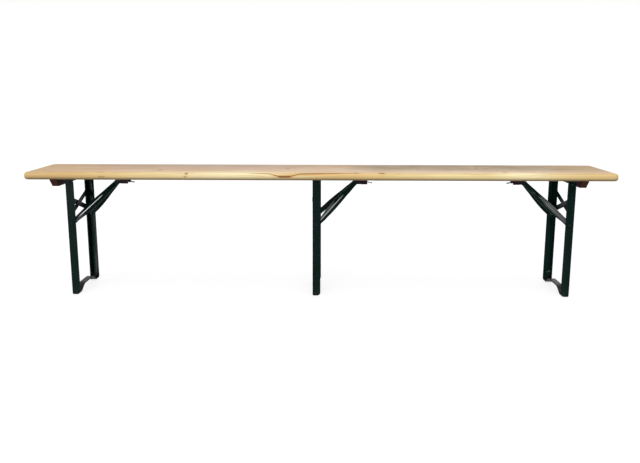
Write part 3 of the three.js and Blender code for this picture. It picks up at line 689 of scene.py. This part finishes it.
def arm_highlights(highlights):
    """Painted highlights and reflections, in light grey streaks, along a brace's front arm."""
    def marks(graph, place):
        spot = graph.add("ShaderNodeAttribute", attribute_name=ARM_PLACE).outputs["Vector"]
        along, across, side = graph.parts(spot)
        streak = graph.spread(graph.drawn_noise(spot, HIGHLIGHT_STREAKS), *HIGHLIGHT_STREAK_FADE)
        total = 0.0
        for start, end, low, high, level, streaks in highlights:
            length = graph.window(along, (start, start + HIGHLIGHT_RUN_OUT), (end, end - HIGHLIGHT_RUN_OUT))
            width = graph.window(across, (low - HIGHLIGHT_SOFTNESS, low + HIGHLIGHT_SOFTNESS),
                                 (high + HIGHLIGHT_SOFTNESS, high - HIGHLIGHT_SOFTNESS))
            kept = graph.math("ADD", graph.product(streak, streaks), 1 - streaks)
            total = graph.math("MAXIMUM", total, graph.product(length, width, kept, level))
        return graph.product(total, graph.spread(side, *HIGHLIGHT_SIDE_FADE)), HIGHLIGHT_TONE
    return marks


def foot_bar_sheen(graph, place):
    """Painted sheen, in patches, on the upper face of a foot bar, which faces the light from above."""
    facing = graph.add("ShaderNodeTexCoord").outputs["Normal"]
    up = graph.spread(graph.parts(facing)["Z"], *FOOT_BAR_UP_FADE)
    rise = graph.spread(graph.parts(place)["Z"], *FOOT_BAR_RISE_FADE)
    patches = graph.spread(graph.noise(place, **FOOT_BAR_PATCHES), *FOOT_BAR_PATCH_FADE)
    return graph.product(up, rise, patches), FOOT_BAR_SHEEN_TONE


def upright_scratch(graph, place):
    """One short scratch through the paint, deepest at its upper end."""
    start, end = SCRATCH
    run = end - start
    offset = graph.vector("SUBTRACT", place, tuple(start))
    product = graph.vector("DOT_PRODUCT", offset, tuple(run), output="Value")
    raw_share = graph.math("DIVIDE", product, run.length_squared)
    share = graph.made("ShaderNodeClamp", {"Value": raw_share})
    nearest = graph.vector("MULTIPLY", graph.combine(share, share, share), tuple(run))
    distance = graph.vector("DISTANCE", offset, nearest, output="Value")
    depth = graph.math("ADD", graph.product(share, 1 - SCRATCH_START_DEPTH), SCRATCH_START_DEPTH)
    return graph.product(graph.spread(distance, *SCRATCH_FADE), depth), SCRATCH_TONE


def make_coated_steel(name, dark, light, bare, rough, chips, ripple, gloss, metal=0.0, marks=None):
    """Coated steel: its tone drifts from dark to light, its edges are bare and its foot is dusty."""
    material, graph, shader, place = new_material(name)
    wear = graph.group(STEEL_WEAR, {"Vector": place, "Chips": chips})
    colour = graph.mix(graph.spread(wear["Tone"], *FILM_TONE_FADE), dark, light)
    colour = graph.mix(wear["Edges"], colour, bare)
    colour = graph.tint(colour, wear["Dust"], *DUST)
    # Marks over a paint: a scratch, the foot bars' painted sheen or the arms' painted highlights
    if marks:
        mask, tone = marks(graph, place)
        colour = graph.mix(mask, colour, tone)
    edge_metal = graph.product(wear["Edges"], EDGE_METAL)
    graph.feed(shader.inputs["Metallic"], graph.math("MAXIMUM", edge_metal, metal))
    roughness = graph.math("ADD", graph.product(wear["Tone"], FILM_TONE_ROUGHNESS), rough)
    roughness = graph.math("ADD", roughness, graph.product(wear["Dust"], DUST_ROUGHNESS))
    coat(graph, shader, colour, roughness, gloss, wear["Ripple"], ripple, FILM_DEPTH)
    return material


def make_materials():
    materials = {"pine_board": make_pine(), "brown_batten": make_batten_stain()}
    # The foot bars' paint carries a painted sheen on their upper faces
    paints = {"green_paint": None, "scratched_paint": upright_scratch, "foot_bar_sheen_paint": foot_bar_sheen}
    # Each brace's paint carries painted highlights and reflections along its front arm
    paints |= {f"{label}_brace_paint": arm_highlights(highlights) for label, highlights in ARM_HIGHLIGHTS.items()}
    for name, marks in paints.items():
        materials[name] = make_coated_steel(name, **GREEN_PAINT, marks=marks)
    for name, finish in STEEL_FINISHES.items():
        materials[name] = make_coated_steel(name, **finish)
    return materials


# Shapes

def linked(name, data):
    """A new object in the scene."""
    thing = bpy.data.objects.new(name, data)
    bpy.context.scene.collection.objects.link(thing)
    return thing


def mesh_object(name, mesh, material):
    mesh.materials.append(material)
    return linked(name, mesh)


def settle(piece):
    """Applies a piece's modifiers, so that its own mesh is the final one."""
    bpy.context.view_layer.update()
    graph = bpy.context.evaluated_depsgraph_get()
    evaluated = piece.evaluated_get(graph)
    mesh = bpy.data.meshes.new_from_object(evaluated, preserve_all_data_layers=True, depsgraph=graph)
    piece.modifiers.clear()
    piece.data = mesh
    return piece


def smooth(piece):
    """Shades a piece smoothly, with the large faces kept flat."""
    for face in piece.data.polygons:
        face.use_smooth = True
    flats = piece.modifiers.new("flats", "WEIGHTED_NORMAL")
    flats.weight = FLAT_FACE_WEIGHT
    return settle(piece)


def finished(bm, name, material):
    """A smooth piece from an edited mesh."""
    mesh = bpy.data.meshes.new(name)
    bm.to_mesh(mesh)
    bm.free()
    return smooth(mesh_object(name, mesh, material))


def bevel(bm, edges, width, steps):
    if edges:
        bmesh.ops.bevel(bm, geom=edges, offset=width, offset_type="OFFSET", segments=steps, profile=0.5,
                        affect="EDGES", clamp_overlap=True)


def sharp_edges(bm, hollow):
    """The edges where two faces meet at a clear angle: the hollow ones or the outer ones."""
    return [e for e in bm.edges
            if len(e.link_faces) == 2 and e.calc_face_angle() > SHARP_ANGLE and e.is_convex != hollow]


def folded_edges(bm, side):
    """The outer edges where a bracket's top is folded down on one side of the bench."""
    return [e for e in sharp_edges(bm, False)
            if any(f.normal.z > BEND_TOP_ALIGNMENT for f in e.link_faces)
            and any(f.normal.y * side > BEND_SIDE_ALIGNMENT for f in e.link_faces)]


def rounded_copy(node, name, material, edge, hollow, folded_side):
    """A copy of a CAD node with its edges rounded, and with one corner folded where a side is given."""
    bm = bmesh.new()
    bm.from_mesh(frame["nodes"][node].data)
    bmesh.ops.remove_doubles(bm, verts=bm.verts[:], dist=MERGE_DISTANCE)
    bmesh.ops.dissolve_limit(bm, angle_limit=FLAT_ANGLE, verts=bm.verts[:], edges=bm.edges[:])
    if folded_side:
        bevel(bm, folded_edges(bm, folded_side), BRACKET_BEND, BEND_STEPS)
    if hollow:
        bevel(bm, sharp_edges(bm, True), hollow, HOLLOW_STEPS)
    bevel(bm, sharp_edges(bm, False), edge, EDGE_STEPS)
    return finished(bm, name, material)


def stand_for(piece, node):
    """Puts a piece in a CAD node's place: hides the node and sets the piece on its body."""
    body = next(b for b, nodes in frame["record"]["behaviour"]["bodies"].items() if node in nodes)
    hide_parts(node)
    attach(piece, body)


def dress(kind, end, materials, paint=None, folded_side=0):
    """Dresses one CAD node with a rounded and finished copy of it, in its usual paint or a given one."""
    start, usual_paint, slot, edge, hollow = DRESSES[kind]
    node = f"{kind}_{end}"
    piece = rounded_copy(node, f"{start}_{node}", materials[paint or usual_paint], edge, hollow, folded_side)
    stand_for(piece, node)
    return piece


def board_outline(half, inset):
    """The board's outline seen from above, drawn in by an inset."""
    radius = BOARD_CORNER - inset
    points = []
    for turn, (sx, sy) in enumerate(((1, 1), (-1, 1), (-1, -1), (1, -1))):
        centre = Vector((sx * (half.x - BOARD_CORNER), sy * (half.y - BOARD_CORNER)))
        for step in range(BOARD_CORNER_STEPS + 1):
            angle = math.pi / 2 * (turn + step / BOARD_CORNER_STEPS)
            points.append(centre + radius * Vector((math.cos(angle), math.sin(angle))))
    return points


def make_board(material):
    """The seat board: rings of its rounded edge, from the underside to the top, closed by flat faces."""
    half = (BOARD_HIGH - BOARD_LOW) / 2
    middle = (BOARD_HIGH + BOARD_LOW) / 2
    angles = [math.pi / 2 * step / BOARD_EDGE_STEPS for step in range(BOARD_EDGE_STEPS + 1)]
    edge = [(BOARD_EDGE * (1 - math.sin(a)), BOARD_EDGE * (1 - math.cos(a))) for a in angles]
    levels = [(inset, BOARD_LOW.z + rise) for inset, rise in edge]
    levels += [(inset, BOARD_HIGH.z - rise) for inset, rise in reversed(edge)]
    bm = bmesh.new()
    rings = []
    for inset, z in levels:
        outline = board_outline(half, inset)
        rings.append([bm.verts.new((middle.x + p.x, middle.y + p.y, z)) for p in outline])
    count = len(rings[0])
    for lower, upper in zip(rings, rings[1:]):
        for i in range(count):
            j = (i + 1) % count
            bm.faces.new((lower[i], lower[j], upper[j], upper[i]))
    bm.faces.new(rings[-1])
    bm.faces.new(list(reversed(rings[0])))
    stand_for(finished(bm, "pine_seat_board", material), "seat_board")


def node_middle(node):
    low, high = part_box(node)
    return (low + high) / 2


def brace_axes(label):
    """A brace's hinge point, its direction from hinge to pin, and the direction across it, upwards."""
    hinge = node_middle(f"brace_rivet_front_{label}")
    along = node_middle(f"brace_pin_{label}") - hinge
    along.y = 0
    along.normalize()
    across = Vector((-along.z * FACING[label], 0, along.x * FACING[label]))
    return hinge, along, across


def mark_arm(piece, label, side):
    """Stores where each point lies on its arm: along it, across it, and on which side of the bench."""
    hinge, along, across = brace_axes(label)
    spots = piece.data.attributes.new(ARM_PLACE, "FLOAT_VECTOR", "POINT")
    for spot, vertex in zip(spots.data, piece.data.vertices):
        offset = vertex.co - hinge
        spot.vector = (offset.dot(along), offset.dot(across), side)


def dress_nodes(materials):
    """Rounds and paints every metal and batten node."""
    for label in FACING:
        for face, side in SIDES.items():
            end = f"{face}_{label}"
            dress("upright", end, materials, "scratched_paint" if end == "back_right" else None)
            dress("hinge_bracket", end, materials, folded_side=side)
            mark_arm(dress("brace_arm", end, materials, f"{label}_brace_paint"), label, side)
            dress("hinge_rivet", end, materials)
            dress("brace_rivet", end, materials)
        for kind in FRAME_KINDS:
            dress(kind, label, materials)
    for label in ("left", "right"):
        dress("end_batten", label, materials)


def grown(name, points, edges, tree, sizes, material, body):
    """A piece grown by a geometry tree from points and edges, made a plain mesh and set on its body."""
    mesh = bpy.data.meshes.new(name)
    mesh.from_pydata(points, edges, [])
    piece = mesh_object(name, mesh, material)
    modifier = piece.modifiers.new(tree.name, "NODES")
    modifier.node_group = tree
    sockets = {s.name: s.identifier for s in tree.interface.items_tree if s.in_out == "INPUT"}
    for label, value in {**sizes, "Material": material}.items():
        modifier[sockets[label]] = value
    settle(piece)
    for face in piece.data.polygons:
        face.use_smooth = True
    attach(piece, body)


# Welds

def make_weld_tree():
    """Turns edges into weld beads: rippled rods that run out at both ends."""
    graph, given, out = growth_tree("weld_beads", WELD_SIZES)
    curve = graph.made("GeometryNodeMeshToCurve", {"Mesh": given["Geometry"]})
    fine = graph.made("GeometryNodeResampleCurve", {"Curve": curve, "Length": given["Step"]}, mode="LENGTH")
    index = graph.made("GeometryNodeInputIndex")
    wave = graph.math("ABSOLUTE", graph.math("SINE", graph.product(index, math.pi / WELD_RIPPLE_STEPS)))
    factor = graph.add("GeometryNodeSplineParameter").outputs["Factor"]
    middle = graph.product(graph.math("SUBTRACT", 1.0, factor), graph.product(factor, 4.0))
    full = graph.math("MINIMUM", graph.product(middle, WELD_RUN_OUT), 1.0)
    run_out = graph.math("MAXIMUM", graph.math("SQRT", full), WELD_END_SHARE)
    smallest = graph.math("SUBTRACT", 1.0, given["Ripple"])
    swell = graph.math("ADD", smallest, graph.product(wave, given["Ripple"]))
    radius = graph.product(given["Bead Radius"], swell, run_out)
    section = graph.made("GeometryNodeCurvePrimitiveCircle", {"Resolution": given["Sides"], "Radius": 1.0})
    rod = graph.made("GeometryNodeCurveToMesh", {
        "Curve": fine, "Profile Curve": section, "Scale": radius, "Fill Caps": True})
    solid = graph.made("GeometryNodeRealizeInstances", {"Geometry": rod})
    painted = graph.made("GeometryNodeSetMaterial", {"Geometry": solid, "Material": given["Material"]})
    graph.give(out, Geometry=painted)
    return graph.tree


def node_points(node):
    return [v.co for v in frame["nodes"][node].data.vertices]


def line_mesh(paths):
    """The points and edges of several paths, a closed one with its first point again at its end."""
    points, edges = [], []
    for path in paths:
        first = len(points)
        points += [tuple(p) for p in path]
        edges += [(i, i + 1) for i in range(first, len(points) - 1)]
    return points, edges


def bar_ends(node):
    """The ends of a flat bar between the uprights: for the front and the back, (y, lowest z, highest z)."""
    points = node_points(node)
    ends = []
    for side in SIDES.values():
        reach = max(side * p.y for p in points)
        heights = [p.z for p in points if side * p.y > reach - MERGE_DISTANCE]
        ends.append((side * reach, min(heights), max(heights)))
    return ends


def top_line(node, x, side):
    """The upper edge of a bent bar at x, from its end on one side as far as the upright covers it."""
    tops = {}
    for point in node_points(node):
        if abs(point.x - x) < MERGE_DISTANCE:
            y = round(point.y, PLACE_DIGITS)
            tops[y] = max(tops.get(y, 0), point.z)
    end = max(side * y for y in tops)
    near_end = [y for y in sorted(tops, key=lambda y: -side * y) if side * y > end - WELD_LAP]
    return [Vector((x, y, max(tops[y], WELD_LOWEST))) for y in near_end]


def spot_ring(centre):
    """The raised rim of a spot weld on an upright's inner face."""
    turns = [math.tau * i / SPOT_STEPS for i in range(SPOT_STEPS + 1)]
    return [centre + SPOT_RADIUS * Vector((math.cos(t), 0, math.sin(t))) for t in turns]


def frame_weld_paths(label):
    """Where one folding frame is welded: its crossed bars and its foot bar, to both uprights."""
    facing = FACING[label]
    low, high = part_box(f"cross_bar_lapped_{label}")
    lap_x = low.x if facing > 0 else high.x
    paths = []
    front, back = bar_ends(f"cross_bar_lapped_{label}")
    for end, other in ((front, back), (back, front)):
        share = WELD_LAP / abs(end[0] - other[0])
        for row in (1, 2):
            start = Vector((lap_x, end[0], end[row]))
            paths.append((start, start.lerp(Vector((lap_x, other[0], other[row])), share)))
    low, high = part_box(f"cross_bar_butted_{label}")
    for x in (low.x, high.x):
        for y, lowest, highest in bar_ends(f"cross_bar_butted_{label}"):
            paths.append((Vector((x, y, lowest)), Vector((x, y, highest))))
    low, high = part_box(f"foot_bar_{label}")
    root_x, tip_x = (low.x, high.x) if facing > 0 else (high.x, low.x)
    for side in SIDES.values():
        seam = top_line(f"foot_bar_{label}", root_x, side)
        end = seam[0]
        paths.append(seam)
        paths.append((end, Vector((tip_x, end.y, end.z))))
        paths.append(spot_ring(Vector((root_x + facing * SPOT_U, end.y, SPOT_Z))))
    return paths


def brace_weld_paths(label):
    """The seams between the yoke plate and the two arms of a brace, on the yoke's underside."""
    hinge, along, across = brace_axes(label)
    points = [Vector(p) for p in {tuple(p) for p in node_points(f"brace_yoke_{label}")}]
    lowest = min((p - hinge).dot(across) for p in points)
    under = [p for p in points if (p - hinge).dot(across) < lowest + YOKE_FLATNESS]
    return [sorted((p for p in under if p.y * side > 0), key=lambda p: (p - hinge).dot(along))
            for side in SIDES.values()]


def make_welds(material):
    tree = make_weld_tree()
    for label in FACING:
        for part, paths, body in (("frame", frame_weld_paths(label), "leg"),
                                  ("brace", brace_weld_paths(label), "brace")):
            points, edges = line_mesh(paths)
            grown(f"{part}_welds_{label}", points, edges, tree, WELD_SIZES, material,
                  f"{body}_{label}")


# Wood screws

def make_screw_tree():
    """Puts a pan-head wood screw on every point, its head below and its cross turned at random."""
    graph, given, out = growth_tree("wood_screws", SCREW_SIZES)
    height, radius = given["Head Height"], given["Head Radius"]
    blank = graph.made("GeometryNodeMeshCylinder", {
        "Vertices": given["Sides"], "Side Segments": SCREW_HEAD_RINGS, "Radius": radius, "Depth": height})
    x, y, z = graph.parts(graph.made("GeometryNodeInputPosition"))
    crown = graph.math("SUBTRACT", 0.5, graph.math("DIVIDE", z, height))
    drawn_in = graph.product(graph.math("POWER", crown, 2.0), SCREW_ROUNDNESS)
    narrow = graph.math("SQRT", graph.math("SUBTRACT", 1.0, drawn_in))
    domed_place = graph.combine(graph.product(x, narrow), graph.product(y, narrow), z)
    domed = graph.made("GeometryNodeSetPosition", {"Geometry": blank, "Position": domed_place})
    head = graph.raised(domed, graph.product(height, -0.5))
    width, depth = given["Recess Width"], graph.product(given["Recess Depth"], 2.0)
    bars = [graph.made("GeometryNodeMeshCube", {"Size": graph.combine(*size)})
            for size in ((width, radius, depth), (radius, width, depth))]
    cross = graph.made("GeometryNodeMeshBoolean", {"Mesh 2": bars}, operation="UNION")
    recess = graph.raised(cross, graph.product(height, -1.0))
    recessed = graph.made("GeometryNodeMeshBoolean", {"Mesh 1": head, "Mesh 2": recess},
                          operation="DIFFERENCE")
    rod = graph.made("GeometryNodeMeshCylinder", {
        "Vertices": given["Sides"], "Radius": given["Shank Radius"], "Depth": given["Shank Length"]})
    shank = graph.raised(rod, graph.product(given["Shank Length"], SCREW_SHANK_RISE))
    screw = graph.made("GeometryNodeMeshBoolean", {"Mesh 2": [recessed, shank]}, operation="UNION")
    spin = graph.add("FunctionNodeRandomValue", {"Seed": given["Seed"]}, data_type="FLOAT")
    graph.feed(spin.inputs[RANDOM_NUMBER_MOST], math.pi)
    turned = graph.combine(0.0, 0.0, spin.outputs[RANDOM_NUMBER_RESULT])
    copies = graph.made("GeometryNodeInstanceOnPoints", {
        "Points": given["Geometry"], "Instance": screw, "Rotation": turned})
    solid = graph.made("GeometryNodeRealizeInstances", {"Geometry": copies})
    plated = graph.made("GeometryNodeSetMaterial", {"Geometry": solid, "Material": given["Material"]})
    graph.give(out, Geometry=plated)
    return graph.tree


def screw_points():
    """The centre of every screw's seat: on the brackets, the catches and the battens."""
    points = []
    for label, facing in FACING.items():
        low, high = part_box(f"upright_front_{label}")
        face_x = low.x if facing > 0 else high.x
        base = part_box(f"hinge_bracket_front_{label}")[1].z - BRACKET_WALL
        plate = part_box(f"catch_housing_{label}")[1].z - CATCH_PLATE
        for side in SIDES.values():
            points += [(face_x + facing * BRACKET_SCREW_U, side * y, base) for y in BRACKET_SCREW_YS]
            points += [(face_x + facing * u, side * CATCH_SCREW_Y, plate) for u in CATCH_SCREW_US]
    for label in ("left", "right"):
        low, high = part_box(f"end_batten_{label}")
        points += [((low.x + high.x) / 2, y, low.z) for y in BATTEN_SCREW_YS]
    return points


# Studio

def seen_directly(graph):
    """1 for rays that show the background: from the camera, a mirror or a glass."""
    rays = graph.add("ShaderNodeLightPath").outputs
    seen = graph.math("MAXIMUM", rays["Is Camera Ray"], rays["Is Glossy Ray"])
    return graph.math("MAXIMUM", seen, rays["Is Transmission Ray"])


def empty_graph(holder):
    """The graph of a world or a material, with its usual nodes taken out."""
    holder.use_nodes = True
    holder.node_tree.nodes.clear()
    return Graph(holder.node_tree)


def make_world():
    world = bpy.data.worlds.new("studio")
    graph = empty_graph(world)
    light = graph.made("ShaderNodeBackground", {"Color": grey(1.0), "Strength": AMBIENT_LEVEL})
    white = graph.made("ShaderNodeBackground", {"Color": grey(1.0), "Strength": 1.0})
    both = graph.made("ShaderNodeMixShader", {0: seen_directly(graph), 1: light, 2: white})
    graph.add("ShaderNodeOutputWorld", {"Surface": both})
    bpy.context.scene.world = world


def make_floor():
    """A white floor that shows the bench's soft shadow but looks as bright as the background."""
    material = bpy.data.materials.new("studio_floor")
    graph = empty_graph(material)
    matt = graph.made("ShaderNodeBsdfDiffuse", {"Color": grey(FLOOR_DIFFUSE)})
    strength = graph.product(seen_directly(graph), FLOOR_SEEN_GLOW)
    glow = graph.made("ShaderNodeEmission", {"Color": grey(1.0), "Strength": strength})
    both = graph.made("ShaderNodeAddShader", {0: matt, 1: glow})
    graph.add("ShaderNodeOutputMaterial", {"Surface": both})
    mesh = bpy.data.meshes.new("studio_floor")
    corners = [(sx * FLOOR_REACH, sy * FLOOR_REACH, 0.0) for sx, sy in ((-1, -1), (1, -1), (1, 1), (-1, 1))]
    mesh.from_pydata(corners, [], [(0, 1, 2, 3)])
    mesh_object("studio_floor", mesh, material)


def add_lamp(name, energy, elevation, azimuth, softness):
    """A broad even lamp. Azimuth 0 shines from the front, and a positive one from the right."""
    lamp = bpy.data.lights.new(name, "SUN")
    lamp.energy = energy
    lamp.angle = math.radians(softness)
    holder = linked(name, lamp)
    rise, turn = math.radians(elevation), math.radians(azimuth)
    towards = Vector((math.sin(turn) * math.cos(rise), -math.cos(turn) * math.cos(rise), math.sin(rise)))
    holder.rotation_euler = towards.to_track_quat("Z", "Y").to_euler()


def add_camera():
    yaw, pitch, roll = (math.radians(a) for a in (CAMERA_YAW, CAMERA_PITCH, CAMERA_ROLL))
    ahead = Vector((math.sin(yaw) * math.cos(pitch), math.cos(yaw) * math.cos(pitch), -math.sin(pitch)))
    right = Vector((math.cos(yaw), -math.sin(yaw), 0))
    above = right.cross(ahead)
    turned_right = math.cos(roll) * right + math.sin(roll) * above
    turned_above = -math.sin(roll) * right + math.cos(roll) * above
    camera = bpy.data.cameras.new("camera")
    camera.sensor_width = SENSOR_WIDTH
    camera.lens = FOCAL_PIXELS / PHOTO_WIDTH * SENSOR_WIDTH
    camera.shift_y = (PRINCIPAL_ROW - PHOTO_HEIGHT / 2) / PHOTO_WIDTH
    holder = linked("camera", camera)
    columns = Matrix((turned_right, turned_above, -ahead)).transposed()
    holder.matrix_world = Matrix.Translation(CAMERA_PLACE) @ columns.to_4x4()
    bpy.context.scene.camera = holder


add_camera()
bpy.context.scene.view_settings.view_transform = "Standard"
make_world()
make_floor()
add_lamp("front_lamp", **FRONT_LAMP)
add_lamp("sky_lamp", **SKY_LAMP)
add_lamp("back_lamp", **BACK_LAMP)

MATERIALS = make_materials()
make_board(MATERIALS["pine_board"])
dress_nodes(MATERIALS)
make_welds(MATERIALS["green_paint"])
grown("board_screws", screw_points(), [], make_screw_tree(), SCREW_SIZES, MATERIALS["screw_zinc"],
      "seat")
